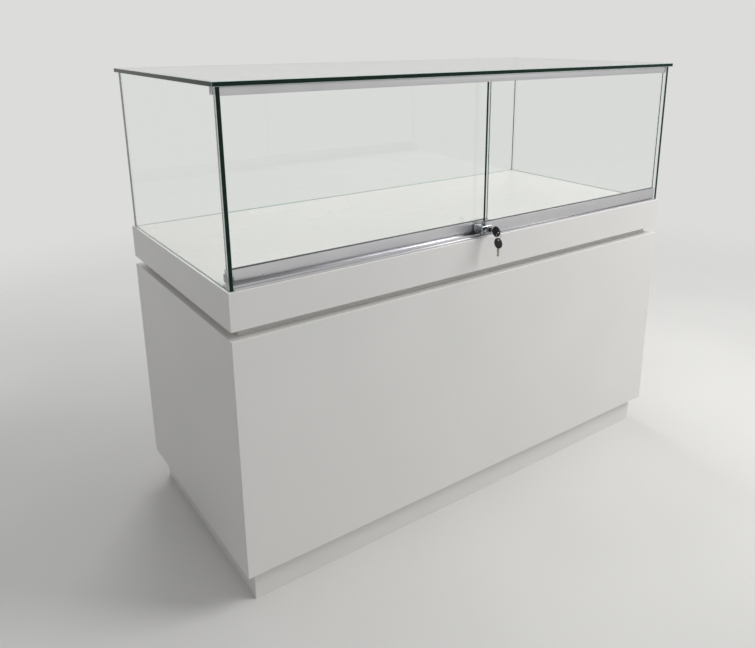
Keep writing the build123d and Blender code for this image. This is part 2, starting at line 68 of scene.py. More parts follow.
# %% [markdown]
# ## Camera
# The camera stands to the left of the counter and looks slightly down. Its place and lens were found
# by matching the corners of the real counter. A small shift of the frame keeps the uprights nearly
# upright, as a photographer does with a shift lens.

# %% Camera
IMAGE_WIDTH = 755
FOCAL_PIXELS = 712.2
SENSOR_WIDTH = 36.0
SHIFT_PIXELS = (-29.9, -88.0)
LOOK_DOWN, LOOK_RIGHT = 15.89, 36.36
camera_place = mm(-1024.5, -1361.6, 1072.2)
camera_turn = (radians(90 - LOOK_DOWN), 0, radians(-LOOK_RIGHT))
bpy.ops.object.select_all(action="DESELECT")
bpy.ops.object.camera_add(location=camera_place, rotation=camera_turn)
camera = bpy.context.object
camera.data.sensor_width = SENSOR_WIDTH
camera.data.lens = SENSOR_WIDTH * FOCAL_PIXELS / IMAGE_WIDTH
camera.data.shift_x = SHIFT_PIXELS[0] / IMAGE_WIDTH
camera.data.shift_y = SHIFT_PIXELS[1] / IMAGE_WIDTH
camera.data.clip_start = 10 * MM
bpy.context.scene.camera = camera
bpy.context.scene.view_settings.view_transform = "Standard"
print("the lens is", round(camera.data.lens, 1), "mm")

# %% [markdown]
# ## Colours and nodes
# Colours are picked as sRGB hex values, the way a paint chart gives them, while the sockets hold
# linear light. One function turns the one into the other. One more adds a node with its settings and
# gives its inputs their values or links, and every finish below is built with it.


# %% Colours and nodes
def paint(hex_code):
    """An sRGB hex colour as linear red, green and blue, with a full alpha."""
    parts = [int(hex_code[i : i + 2], 16) / 255 for i in (1, 3, 5)]
    linear = [p / 12.92 if p <= 0.04045 else ((p + 0.055) / 1.055) ** 2.4 for p in parts]
    return (*linear, 1.0)


def give(node, inputs):
    """Gives a node's inputs their values, or links from other nodes."""
    for socket, value in inputs.items():
        if isinstance(value, bpy.types.Node):
            value = value.outputs[0]
        if isinstance(value, bpy.types.NodeSocket):
            node.id_data.links.new(value, node.inputs[socket])
        else:
            node.inputs[socket].default_value = value


def add_node(owner, kind, inputs, **settings):
    """Adds a node to a material or a world, with its settings and inputs."""
    node = owner.node_tree.nodes.new(kind)
    for setting, value in settings.items():
        setattr(node, setting, value)
    give(node, inputs)
    return node


print("mid grey is", round(paint("#bcbcbc")[0], 2), "in linear light")

# %% [markdown]
# ## A finish
# Nearly every real surface has the same three things: a tone that drifts a little from place to
# place, a gloss that drifts with it, and a fine grain that catches the light. This function builds
# them from sizes in millimetres, so each finish below only says what the real one is like. A stretch
# below 1 draws the grain out along that axis, as a die or a brush does. Values that are the same all
# over go straight to the shader's own sockets.


# %% A finish from its real sizes
def new_finish(name, tones, rough, patch, grain, height, stretch=(1, 1, 1), uniform=None):
    """Two tones and two roughnesses in patches, and a grain that stands height high, all in mm."""
    finish = bpy.data.materials.new(name)
    finish.use_nodes = True
    shader = finish.node_tree.nodes["Principled BSDF"]
    place = add_node(finish, "ShaderNodeTexCoord", {}).outputs["Object"]
    drift = add_node(
        finish, "ShaderNodeTexNoise", {"Vector": place, "Scale": 1 / (patch * MM), "Detail": 1.0}
    )
    share = add_node(
        finish,
        "ShaderNodeMapRange",
        {"Value": drift, "From Min": 0.25, "From Max": 0.75},
        interpolation_type="SMOOTHSTEP",
    )
    tone = add_node(
        finish,
        "ShaderNodeMix",
        {0: share, 6: paint(tones[0]), 7: paint(tones[1])},
        data_type="RGBA",
    )
    gloss = add_node(
        finish, "ShaderNodeMapRange", {"Value": share, "To Min": rough[0], "To Max": rough[1]}
    )
    drawn = add_node(finish, "ShaderNodeMapping", {"Vector": place, "Scale": stretch})
    fine = add_node(
        finish, "ShaderNodeTexNoise", {"Vector": drawn, "Scale": 1 / (grain * MM), "Detail": 2.0}
    )
    relief = add_node(finish, "ShaderNodeBump", {"Height": fine, "Distance": height * MM})
    give(shader, {"Base Color": tone.outputs[2], "Roughness": gloss, "Normal": relief})
    give(shader, uniform or {})
    return finish


print("finishes can be made")

# %% [markdown]
# ## The room
# The counter stands on a plain pale floor. The floor fades out a few metres away, and the pale world
# behind it has the same tone, so no horizon cuts through the glass. The world shows its pale tone to
# the camera, to reflections and through glass, and lights the counter with a weaker even light, so
# that the lamps can shape it. The key lamp stands to the right in front, which makes the front
# brighter to the right and leaves the left side in shade. A wide one hangs overhead, and a weaker
# one behind keeps the back readable.

# %% World
WORLD_LIGHT = 0.36
world = bpy.data.worlds.new("pale_room")
world.use_nodes = True
bpy.context.scene.world = world
ambient = world.node_tree.nodes["Background"]
give(ambient, {"Color": paint("#f4f5f8"), "Strength": WORLD_LIGHT})
ray = add_node(world, "ShaderNodeLightPath", {})
mirrored = add_node(
    world,
    "ShaderNodeMath",
    {0: ray.outputs["Is Camera Ray"], 1: ray.outputs["Is Glossy Ray"]},
    operation="MAXIMUM",
)
looked_at = add_node(
    world,
    "ShaderNodeMath",
    {0: mirrored, 1: ray.outputs["Is Transmission Ray"]},
    operation="MAXIMUM",
)
backdrop = add_node(
    world, "ShaderNodeBackground", {"Color": paint("#dcdcda"), "Strength": 1.0}
)
seen = add_node(world, "ShaderNodeMixShader", {0: looked_at, 1: ambient, 2: backdrop})
give(world.node_tree.nodes["World Output"], {"Surface": seen})
# A line of sight can cross several panes, and each pane has two faces
bpy.context.scene.cycles.transparent_max_bounces = 24
bpy.context.scene.cycles.max_bounces = 16
bpy.context.scene.cycles.transmission_bounces = 16
print("the world lights at", WORLD_LIGHT)

# %% Floor
FLOOR_RADIUS = 8000
FLOOR_DROP = 0.2
# The fade works on Blender's own coordinates, so these two are in metres
FADE_START, FADE_END = 0.9, 2.9
bpy.ops.object.select_all(action="DESELECT")
bpy.ops.mesh.primitive_circle_add(
    vertices=96, radius=FLOOR_RADIUS * MM, fill_type="NGON", location=mm(0, 0, -FLOOR_DROP)
)
floor = bpy.context.object
floor.name = "pale_floor"
bpy.ops.object.transform_apply(location=True, rotation=True, scale=True)
# Matt floor paint: no clear reflection, and slow drifts of tone
floor_paint = new_finish(
    "matt_floor_paint", ("#dddcd9", "#d9d8d5"), (0.75, 0.85), patch=500, grain=8, height=0.01
)
away = add_node(
    floor_paint,
    "ShaderNodeVectorMath",
    {0: add_node(floor_paint, "ShaderNodeTexCoord", {}).outputs["Object"]},
    operation="LENGTH",
)
fade = add_node(
    floor_paint,
    "ShaderNodeMapRange",
    {"Value": away.outputs["Value"], "From Min": FADE_START, "From Max": FADE_END},
    interpolation_type="SMOOTHSTEP",
)
gone = add_node(floor_paint, "ShaderNodeBsdfTransparent", {})
painted = floor_paint.node_tree.nodes["Principled BSDF"]
faded = add_node(floor_paint, "ShaderNodeMixShader", {0: fade, 1: painted, 2: gone})
give(floor_paint.node_tree.nodes["Material Output"], {"Surface": faded})
floor.data.materials.append(floor_paint)
print("the floor fades between", FADE_START, "and", FADE_END, "m")


# %% Lamps
def add_lamp(name, place, aim, size, watts):
    """A square lamp, its size in metres, turned to its aim and unseen by the camera."""
    turn = (aim - place).to_track_quat("-Z", "Y").to_euler()
    bpy.ops.object.light_add(type="AREA", location=place, rotation=turn)
    lamp = bpy.context.object
    lamp.name = name
    lamp.data.size = size
    lamp.data.energy = watts
    lamp.visible_camera = False
    lamp.visible_transmission = False
    print(name, watts, "W")


bpy.ops.object.select_all(action="DESELECT")
add_lamp("key_lamp", mm(1700, -1500, 2200), mm(150, -275, 500), 1.4, 50)
add_lamp("top_lamp", mm(0, 0, 3200), mm(0, 0, 0), 3.2, 20)
add_lamp("back_lamp", mm(700, 2400, 2600), mm(0, 275, 500), 1.4, 26)

# %% [markdown]
# ## Painted boards
# The base, the plinth, the deck and the board in the shadow gap are sprayed with white lacquer to a
# satin sheen. Lacquer is a plastic film with an IOR of 1.5. Its roughness is near 0.35, and it has
# the soft waves that painters call orange peel. Those are 1 to 3 mm across and a few micrometres
# high, and they are drawn 5 mm across here, because finer ones would be lost between the pixels.
# The floor of the case is a white laminate, pressed against a smoother plate. Its mirror part is
# held back a little, so that the key lamp doesn't glare in it from behind. The boards inside are
# faced with plain melamine paper, and the dowels are beech.

# %% Lacquer, laminate, melamine and beech
lacquer = new_finish(
    "sprayed_satin_lacquer",
    ("#e5e3e0", "#e2e1de"),
    (0.34, 0.38),
    patch=220,
    grain=5,
    height=0.006,
    uniform={"IOR": 1.5},
)
laminate = new_finish(
    "white_laminate",
    ("#e5e2de", "#e2e0dc"),
    (0.24, 0.30),
    patch=300,
    grain=9,
    height=0.003,
    uniform={"IOR": 1.5, "Specular IOR Level": 0.35},
)
melamine = new_finish(
    "melamine_faced_board", ("#dfddd7", "#d6d3cc"), (0.50, 0.62), patch=45, grain=2, height=0.01
)
beech = new_finish(
    "turned_beech", ("#cda878", "#b98f60"), (0.55, 0.65), patch=5, grain=1, height=0.04
)
print("board finishes:", lacquer.name, laminate.name, melamine.name, beech.name)

# %% [markdown]
# ## Metals and plastics
# The tracks and door rails are extruded aluminium, etched and anodised. That gives a satin metal with
# fine lines along its length, left by the die. The lines are about half a millimetre apart and a
# micrometre deep, and the grain is drawn out fifty times along X to make them. The lock is zinc,
# die-cast and chromed, with finger marks that dull it in places, and its plug is black nickel. The
# screws are zinc plated, the pins and the bolt are ground steel, the key blades are brass with a
# nickel plate, and the split ring is drawn wire. Metals keep the default IOR, because their colour
# already holds their reflection.

# %% Metals
aluminium = new_finish(
    "satin_anodised_aluminium",
    ("#cdcdcf", "#c5c4c8"),
    (0.30, 0.38),
    patch=90,
    grain=0.6,
    height=0.0008,
    stretch=(0.02, 1, 1),
    uniform={"Metallic": 1.0},
)
zinc = new_finish(
    "bright_zinc_plate",
    ("#c7c6c0", "#aeb0b0"),
    (0.28, 0.42),
    patch=1.5,
    grain=0.4,
    height=0.008,
    uniform={"Metallic": 1.0},
)
steel = new_finish(
    "ground_steel",
    ("#b6b5b2", "#a6a5a3"),
    (0.22, 0.32),
    patch=3,
    grain=0.4,
    height=0.004,
    stretch=(1, 0.1, 1),
    uniform={"Metallic": 1.0},
)
chrome = new_finish(
    "chromed_die_cast_zinc",
    ("#a6a8ad", "#8d9096"),
    (0.10, 0.24),
    patch=7,
    grain=1.5,
    height=0.004,
    uniform={"Metallic": 1.0},
)
black_nickel = new_finish(
    "black_nickel_plate",
    ("#39393c", "#2b2b2e"),
    (0.22, 0.34),
    patch=2,
    grain=0.5,
    height=0.005,
    uniform={"Metallic": 1.0},
)
nickel = new_finish(
    "nickel_plated_brass",
    ("#b8b5ab", "#a29e93"),
    (0.20, 0.32),
    patch=3,
    grain=0.4,
    height=0.006,
    stretch=(1, 0.15, 1),
    uniform={"Metallic": 1.0},
)
wire = new_finish(
    "drawn_spring_steel",
    ("#b1b1b0", "#9c9c9b"),
    (0.18, 0.28),
    patch=2,
    grain=0.3,
    height=0.003,
    uniform={"Metallic": 1.0},
)
print("metals:", aluminium.name, zinc.name, steel.name, chrome.name, nickel.name, wire.name)

# %% [markdown]
# The end caps and liners are moulded grey plastic with the faint matt grain of a spark-eroded mould.
# The rollers are nylon, waxy and a little yellow. The seal round the door glass and the bumpers are
# soft vinyl, matt and dark grey. The key grips are black ABS with a leathery grain, a little deeper
# than on the caps. Plastics have an IOR near 1.5.

# %% Plastics
grey_moulding = new_finish(
    "moulded_grey_plastic", ("#b9b9b8", "#b0b0af"), (0.42, 0.52), patch=8, grain=0.6, height=0.015
)
nylon = new_finish(
    "moulded_nylon",
    ("#e3e2da", "#d8d7cd"),
    (0.32, 0.42),
    patch=6,
    grain=1,
    height=0.006,
    uniform={"IOR": 1.53},
)
vinyl = new_finish(
    "soft_grey_vinyl",
    ("#505254", "#46484a"),
    (0.50, 0.60),
    patch=30,
    grain=0.8,
    height=0.01,
    stretch=(0.05, 1, 1),
)
black_plastic = new_finish(
    "black_grained_abs", ("#17171a", "#0f0f11"), (0.36, 0.50), patch=3, grain=0.7, height=0.03
)
print("plastics:", grey_moulding.name, nylon.name, vinyl.name, black_plastic.name)

# %% [markdown]
# ## Glass
# The panes are clear float glass with an IOR of 1.52. Iron in it takes a little red out of the
# light, which gives the faint green. Looked at edge on, the light has come a long way through the
# glass, so a polished edge is nearly black-green. Its mirror part is held low, or the pale room
# would turn it grey. The sharp corners of the pane are taken off with a fine stone, and these
# arrises stay frosted and pale. They draw the thin light lines along every edge. So there are
# three finishes, and each face of a pane gets one from its direction.
#
# Light that only passes on its way from a lamp or a board goes straight through with a slight tint,
# because bending it would darken the case with noise. The Light Path node picks out those rays.

# %% Glass finishes
clear_glass = new_finish(
    "clear_float_glass",
    ("#fdfefe", "#fcfefd"),
    (0.004, 0.012),
    patch=70,
    grain=40,
    height=0.002,
    uniform={"IOR": 1.52, "Transmission Weight": 1.0},
)
glass_ray = add_node(clear_glass, "ShaderNodeLightPath", {})
passing = add_node(clear_glass, "ShaderNodeBsdfTransparent", {"Color": paint("#fdfefd")})
bounced = add_node(
    clear_glass,
    "ShaderNodeMixShader",
    {
        0: glass_ray.outputs["Is Diffuse Ray"],
        1: clear_glass.node_tree.nodes["Principled BSDF"],
        2: passing,
    },
)
lit = add_node(
    clear_glass,
    "ShaderNodeMixShader",
    {0: glass_ray.outputs["Is Shadow Ray"], 1: bounced, 2: passing},
)
give(clear_glass.node_tree.nodes["Material Output"], {"Surface": lit})
green_edge = new_finish(
    "polished_glass_edge",
    ("#0a1c15", "#10281f"),
    (0.05, 0.12),
    patch=14,
    grain=1.2,
    height=0.003,
    uniform={"IOR": 1.52, "Specular IOR Level": 0.15},
)
frosted_arris = new_finish(
    "stoned_glass_arris",
    ("#bcd9d0", "#a2c6bb"),
    (0.50, 0.62),
    patch=9,
    grain=0.8,
    height=0.01,
    uniform={"IOR": 1.52},
)
pane_finishes = (clear_glass, green_edge, frosted_arris)
print("glass finishes:", [finish.name for finish in pane_finishes])

# %% [markdown]
# ## Dressing the construction model
# Each node of the model says which material slot it belongs to, so most of them get their finish
# from a small table. The floor of the case shares the lacquer's slot and is laminate.

# %% Finishes on the construction model
finish_of_slot = {
    "white_lacquer": lacquer,
    "raw_board": melamine,
    "beech": beech,
    "clear_glass": clear_glass,
    "anodised_aluminium": aluminium,
    "zinc_screw": zinc,
    "grey_plastic": grey_moulding,
    "nylon": nylon,
    "soft_strip": vinyl,
    "steel_pin": steel,
    "chrome": chrome,
    "black_plug": black_nickel,
    "black_plastic": black_plastic,
    "nickel_key": nickel,
    "ring_wire": wire,
}
for name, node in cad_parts.items():
    for holder in node.material_slots:
        finish = finish_of_slot[holder.material.name]
        holder.material = laminate if name == "display_floor" else finish
print("dressed", len(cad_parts), "nodes")

# %% [markdown]
# ## Tools for modelling
# Operators act on whatever is selected, so each tool first selects one piece alone. The tools are
# the ones used by hand: a block at its place, faces or edges picked by where they are, a modifier
# that is applied at once, a cut with a second piece, and a finished piece that is shaded and tied
# to the body that carries it.


# %% Selecting, shaping and cutting
def only(piece):
    """Selects one piece alone, out of edit mode."""
    if bpy.context.object and bpy.context.object.mode == "EDIT":
        bpy.ops.object.mode_set(mode="OBJECT")
    bpy.ops.object.select_all(action="DESELECT")
    piece.select_set(True)
    bpy.context.view_layer.objects.active = piece


def settle(name):
    """Names the new primitive and puts its place into its mesh."""
    piece = bpy.context.object
    piece.name = name
    piece.data.name = name
    bpy.ops.object.transform_apply(location=True, rotation=True, scale=True)
    return piece


def add_block(name, low, high):
    """A block between two corners."""
    bpy.ops.object.select_all(action="DESELECT")
    bpy.ops.mesh.primitive_cube_add(size=1, location=(low + high) / 2, scale=high - low)
    return settle(name)


def add_rod(name, middle, radius, length, along="Y", steps=48):
    """A round rod about a middle, in metres, along X or Y or Z."""
    turns = {"X": (0, pi / 2, 0), "Y": (pi / 2, 0, 0), "Z": (0, 0, 0)}
    bpy.ops.object.select_all(action="DESELECT")
    bpy.ops.mesh.primitive_cylinder_add(
        vertices=steps, radius=radius, depth=length, location=middle, rotation=turns[along]
    )
    return settle(name)


def pick(piece, kind, test):
    """Selects the faces or edges whose middle and direction pass a test, and stays in edit mode."""
    only(piece)
    bpy.ops.object.mode_set(mode="EDIT")
    bpy.ops.mesh.select_mode(type=kind)
    bpy.ops.mesh.select_all(action="DESELECT")
    bpy.ops.object.mode_set(mode="OBJECT")
    mesh = piece.data
    if kind == "FACE":
        for face in mesh.polygons:
            face.select = test(face.center, face.normal)
    else:
        for edge in mesh.edges:
            start, end = (mesh.vertices[i].co for i in edge.vertices)
            edge.select = test((start + end) / 2, (end - start).normalized())
    bpy.ops.object.mode_set(mode="EDIT")


def apply_modifier(piece, kind, **settings):
    """Adds a modifier with its settings and applies it."""
    only(piece)
    modifier = piece.modifiers.new(kind.lower(), kind)
    for setting, value in settings.items():
        setattr(modifier, setting, value)
    bpy.ops.object.modifier_apply(modifier=modifier.name)


def break_edges(piece, width, segments=2):
    """Rounds the sharp edges by a width in mm."""
    apply_modifier(
        piece,
        "BEVEL",
        width=width * MM,
        segments=segments,
        limit_method="ANGLE",
        angle_limit=radians(40),
    )


def cut(piece, tool):
    """Cuts the tool's shape out of the piece and throws the tool away."""
    apply_modifier(piece, "BOOLEAN", operation="DIFFERENCE", solver="EXACT", object=tool)
    bpy.data.objects.remove(tool)


def hand_over(piece, body, slot, finishes, *nodes):
    """Shades a finished piece, gives it its finishes, ties it to its body and hides the nodes it
    replaces. The slot is not used.
    """
    only(piece)
    bpy.ops.object.shade_smooth_by_angle(angle=radians(35))
    for finish in finishes:
        piece.data.materials.append(finish)
    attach(piece, body)
    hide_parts(*nodes)
    print(piece.name, "has", len(piece.data.polygons), "faces and rides on", body)


print("tools are ready")

# %% [markdown]
# Profiles and turned parts both start from an outline. It is drawn as by hand: a plane is merged to
# one point, and that point is extruded from corner to corner. A filled outline that is pulled out is
# a bar, and an open one that is spun round an axis is a turned part.


# %% Bars and turned parts
def draw_outline(name, points):
    """A chain of edges through points in metres, all selected, in edit mode."""
    bpy.ops.object.select_all(action="DESELECT")
    bpy.ops.mesh.primitive_plane_add(size=MM)
    piece = settle(name)
    bpy.ops.object.mode_set(mode="EDIT")
    bpy.ops.mesh.select_mode(type="VERT")
    bpy.ops.mesh.select_all(action="SELECT")
    bpy.ops.mesh.merge(type="CENTER")
    bpy.ops.transform.translate(value=points[0])
    for start, end in zip(points, points[1:]):
        bpy.ops.mesh.extrude_vertices_move(TRANSFORM_OT_translate={"value": end - start})
    bpy.ops.mesh.select_all(action="SELECT")
    return piece


def pull_outline(name, points, way):
    """A bar: the outline filled and pulled out along a way, in metres."""
    piece = draw_outline(name, points)
    bpy.ops.mesh.edge_face_add()
    bpy.ops.mesh.extrude_region_move(TRANSFORM_OT_translate={"value": way})
    bpy.ops.mesh.select_all(action="SELECT")
    bpy.ops.mesh.normals_make_consistent(inside=False)
    bpy.ops.object.mode_set(mode="OBJECT")
    return piece


def spin_outline(name, points, axis_place, steps=64):
    """A turned part: an outline spun once round a line along Y."""
    piece = draw_outline(name, points)
    bpy.ops.mesh.spin(steps=steps, angle=2 * pi, center=axis_place, axis=(0, 1, 0))
    bpy.ops.mesh.select_all(action="SELECT")
    bpy.ops.mesh.remove_doubles(threshold=0.001 * MM)
    bpy.ops.mesh.normals_make_consistent(inside=False)
    bpy.ops.object.mode_set(mode="OBJECT")
    return piece


print("outlines can be drawn")

# %% [markdown]
# ## Panes
# Each pane is a block with its corners taken off. Where a pane touches another part it stays a
# twentieth of a millimetre clear, because two glass faces in the same place would flicker. A table
# says, for the low and the high corner, on which axes it touches. Then every face gets its finish
# from its direction: the large faces are clear, the narrow ones green, and the slanted ones frosted.

# %% Panes
CLEARANCE = 0.05
ARRIS = 0.5
pane_table = [
    # new name, node, body, thin axis, touches at the low corner, touches at the high corner
    ("left_pane", "glass_left", "counter", 0, (0, 0, 1), (1, 0, 1)),
    ("right_pane", "glass_right", "counter", 0, (1, 0, 1), (0, 0, 1)),
    ("back_pane", "glass_back", "counter", 1, (1, 0, 1), (1, 0, 1)),
    ("top_pane", "glass_top", "counter", 2, (0, 0, 1), (0, 0, 0)),
    ("front_door_pane", "front_door_glass", "front_door", 1, (0, 1, 1), (0, 1, 0)),
    ("rear_door_pane", "rear_door_glass", "rear_door", 1, (0, 1, 1), (0, 1, 0)),
]
for name, node, body, thin, low_touch, high_touch in pane_table:
    low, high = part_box(node)
    low = low + mm(*low_touch) * CLEARANCE
    high = high - mm(*high_touch) * CLEARANCE
    pane = add_block(name, low, high)
    break_edges(pane, ARRIS, segments=1)
    hand_over(pane, body, "clear_glass", pane_finishes, node)
    for face in pane.data.polygons:
        straight = [abs(part) > 0.99 for part in face.normal]
        face.material_index = 2 if not any(straight) else 0 if straight[thin] else 1
        face.use_smooth = False

# %% [markdown]
# ## Tracks
# The doors run between two aluminium extrusions. The upper one has two deep slots that open
# downwards, and a hollow core between them that saves metal. The lower one is a flat strip with a
# lip along each edge and two low rails for the rollers. Both are bars pulled out of their section,
# with their corners broken by a fifth of a millimetre, as an extrusion has. The lower track is
# countersunk for its five screws.

# %% Upper track
FRONT_Y, REAR_Y = -263, -245
EXTRUSION_EDGE = 0.2
track_low, track_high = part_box("top_track")
left_end, right_end = track_low.x / MM, track_high.x / MM
full_length = mm(right_end - left_end, 0, 0)
upper_section = [
    (-268.6, 977), (-267, 977), (-267, 990.4), (-259, 990.4), (-259, 977), (-249, 977),
    (-249, 990.4), (-241, 990.4), (-241, 977), (-239.4, 977), (-239.4, 992), (-268.6, 992),
]
upper_track = pull_outline(
    "upper_track", [mm(left_end, y, z) for y, z in upper_section], full_length
)
break_edges(upper_track, EXTRUSION_EDGE)
# The hollow core is cut out past both ends
cut(
    upper_track,
    add_block("core_tool", mm(left_end - 5, -257.4, 978.6), mm(right_end + 5, -250.6, 990.4)),
)
hand_over(upper_track, "counter", "anodised_aluminium", [aluminium], "top_track")

# %% Lower track
lower_section = [
    (-272, 650), (-272, 653.5), (-270.8, 653.5), (-270.8, 652), (-263.8, 652), (-263.8, 657),
    (-262.2, 657), (-262.2, 652), (-245.8, 652), (-245.8, 657), (-244.2, 657), (-244.2, 652),
    (-237.2, 652), (-237.2, 653.5), (-236, 653.5), (-236, 650),
]
lower_track = pull_outline(
    "lower_track", [mm(left_end, y, z) for y, z in lower_section], full_length
)
break_edges(lower_track, EXTRUSION_EDGE)
TRACK_SCREWS_X = (-497, -248.5, 0, 248.5, 497)
HOLE_RADIUS, HEAD_RADIUS, SINK_DEPTH = 1.6, 3.15, 2.2
for screw_x in TRACK_SCREWS_X:
    bpy.ops.object.select_all(action="DESELECT")
    bpy.ops.mesh.primitive_cone_add(
        vertices=32,
        radius1=HOLE_RADIUS * MM,
        radius2=HEAD_RADIUS * MM,
        depth=SINK_DEPTH * MM,
        location=mm(screw_x, -254, 651),
    )
    cut(lower_track, settle("countersink_tool"))
hand_over(lower_track, "counter", "anodised_aluminium", [aluminium], "bottom_track")

# %% [markdown]
# ## Door rails
# The lower edge of each door sits in an aluminium rail. Seen from its end the rail is an H: a pocket
# for the glass above, a web, and a channel for the rollers below. A soft seal wraps the edge of the
# glass in the pocket and shows as a dark lip on each side. A plastic plate closes each end, with a
# notch that clears the track's rail. One loop makes both doors, because they only differ in place.
# The rear rail also has the hole that the lock's bolt goes into.

# %% Door rails, seals and end plates
h_section = [
    (-6.5, 0), (-5, 0), (-5, 17), (5, 17), (5, 0), (6.5, 0),
    (6.5, 28), (5, 28), (5, 20), (-5, 20), (-5, 28), (-6.5, 28),
]
seal_section = [
    (-4.95, 0), (4.95, 0), (4.95, 8.1), (4.3, 8.8), (3.1, 8.8), (3.0, 8.2),
    (3.0, 1.5), (-3.0, 1.5), (-3.0, 8.2), (-3.1, 8.8), (-4.3, 8.8), (-4.95, 8.1),
]
plate_section = [
    (-6.5, 0), (-2, 0), (-2, 4.5), (2, 4.5), (2, 0), (6.5, 0), (6.5, 28), (-6.5, 28),
]
AXLE_FROM_RAIL_END, AXLE_Z, AXLE_HOLE = 58.5, 662.2, 1.55
BOLT_X, LOCK_Z = -22, 667.5
PLATE_THICKNESS = 1.5
for door, y in (("front", FRONT_Y), ("rear", REAR_Y)):
    body = door + "_door"
    low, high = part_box(body + "_shoe")
    long_way = Vector((high.x - low.x, 0, 0))
    start_x, end_x, rail_z = low.x / MM, high.x / MM, low.z / MM
    rail = pull_outline(
        body + "_rail", [mm(start_x, y + a, rail_z + b) for a, b in h_section], long_way
    )
    break_edges(rail, 0.25)
    for x in (start_x + AXLE_FROM_RAIL_END, end_x - AXLE_FROM_RAIL_END):
        cut(rail, add_rod("hole_tool", mm(x, y, AXLE_Z), AXLE_HOLE * MM, 20 * MM))
    if door == "rear":
        cut(rail, add_rod("strike_tool", mm(BOLT_X, -251.5, LOCK_Z), 2.8 * MM, 4 * MM))
    hand_over(rail, body, "anodised_aluminium", [aluminium], body + "_shoe")

    seal_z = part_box(body + "_gasket")[0].z / MM
    seal = pull_outline(
        body + "_seal", [mm(start_x, y + a, seal_z + b) for a, b in seal_section], long_way
    )
    break_edges(seal, 0.15)
    hand_over(seal, body, "soft_strip", [vinyl], body + "_gasket")

    low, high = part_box(body + "_end_caps")
    plates = pull_outline(
        body + "_end_plates",
        [mm(low.x / MM, y + a, rail_z + b) for a, b in plate_section],
        mm(PLATE_THICKNESS, 0, 0),
    )
    break_edges(plates, 0.3)
    bpy.ops.object.mode_set(mode="EDIT")
    bpy.ops.mesh.select_all(action="SELECT")
    to_other_end = Vector((high.x - low.x, 0, 0)) - mm(PLATE_THICKNESS, 0, 0)
    bpy.ops.mesh.duplicate_move(TRANSFORM_OT_translate={"value": to_other_end})
    bpy.ops.object.mode_set(mode="OBJECT")
    hand_over(plates, body, "grey_plastic", [grey_moulding], body + "_end_caps")

# %% [markdown]
# Four soft pads on the side panes stop the doors. One is shaped with rounded edges and then copied
# to the other three places.

# %% Bumpers
PAD_LOW, PAD_HIGH = mm(-587, -267, 660.5), mm(-584, -259, 674.5)
PADS_APART = 1171
bumpers = add_block("side_bumpers", PAD_LOW, PAD_HIGH)
break_edges(bumpers, 0.9, segments=3)
bpy.ops.object.mode_set(mode="EDIT")
bpy.ops.mesh.select_all(action="SELECT")
bpy.ops.mesh.duplicate_move(TRANSFORM_OT_translate={"value": mm(0, REAR_Y - FRONT_Y, 0)})
bpy.ops.mesh.select_all(action="SELECT")
bpy.ops.mesh.duplicate_move(TRANSFORM_OT_translate={"value": mm(PADS_APART, 0, 0)})
bpy.ops.object.mode_set(mode="OBJECT")
hand_over(bumpers, "counter", "soft_strip", [vinyl], "door_bumpers")

# %% [markdown]
# ## Lock
# The lock is clamped round the end of the front door's rail. From above its case is an L, whose hook
# reaches back to the rear door. It is a die casting, so its corners are rounded by two millimetres.
# The barrel is a ring that is pressed into the case, and the plug inside it turns with the key.
# Barrel and plug are turned parts, and the keyway is cut out of the plug.

# %% Lock case
LOCK_X = -10
CASE_BOTTOM, CASE_HEIGHT, CASE_ROUNDING = 658, 19, 2
lock_plan = [(-32, -281), (-2, -281), (-2, -269.5), (-12, -269.5), (-12, -253), (-32, -253)]
lock_body = pull_outline(
    "lock_body", [mm(x, y, CASE_BOTTOM) for x, y in lock_plan], mm(0, 0, CASE_HEIGHT)
)
pick(lock_body, "EDGE", lambda middle, way: middle.y < -280.9 * MM or middle.x < -31.9 * MM)
bpy.ops.mesh.bevel(offset=CASE_ROUNDING * MM, segments=5, affect="EDGES")
bpy.ops.object.mode_set(mode="OBJECT")
cut(lock_body, add_rod("barrel_tool", mm(LOCK_X, -276, LOCK_Z), 6.56 * MM, 16 * MM, steps=64))
cut(lock_body, add_rod("bolt_tool", mm(BOLT_X, -257.25, LOCK_Z), 2.6 * MM, 10.5 * MM))
for screw_x in (-27, -18.5):
    cut(lock_body, add_rod("screw_tool", mm(screw_x, -278, 662.7), 1.2 * MM, 12.5 * MM))
break_edges(lock_body, 0.2)
hand_over(lock_body, "front_door", "chrome", [chrome], "lock_case")

# %% Barrel and plug
axis_place = mm(LOCK_X, 0, LOCK_Z)
barrel_section = [
    (5.06, -282.8), (5.06, -269.6), (6.5, -269.6), (6.5, -282.5), (6.35, -282.85),
    (6.0, -283.0), (5.3, -283.0), (5.06, -282.8),
]
barrel = spin_outline(
    "lock_collar", [mm(LOCK_X + r, y, LOCK_Z) for r, y in barrel_section], axis_place
)
hand_over(barrel, "front_door", "chrome", [chrome], "lock_barrel")
plug_section = [
    (0, -284), (4.5, -284), (4.85, -283.85), (5, -283.5), (5, -269.7), (0, -269.7),
]
plug = spin_outline(
    "lock_cylinder", [mm(LOCK_X + r, y, LOCK_Z) for r, y in plug_section], axis_place
)
cut(
    plug,
    add_block("keyway_tool", mm(LOCK_X - 1, -285, 664.2), mm(LOCK_X + 1, -271.5, 670.8)),
)
hand_over(plug, "lock_plug", "black_plug", [black_nickel], "lock_plug")

# %% [markdown]
# ## Keys
# Both keys are the same: a flat brass blade moulded into a round black grip with a raised rim. One is
# modelled at the origin with its blade along Y. It is then copied into the lock, and once more,
# turned to hang from the ring.

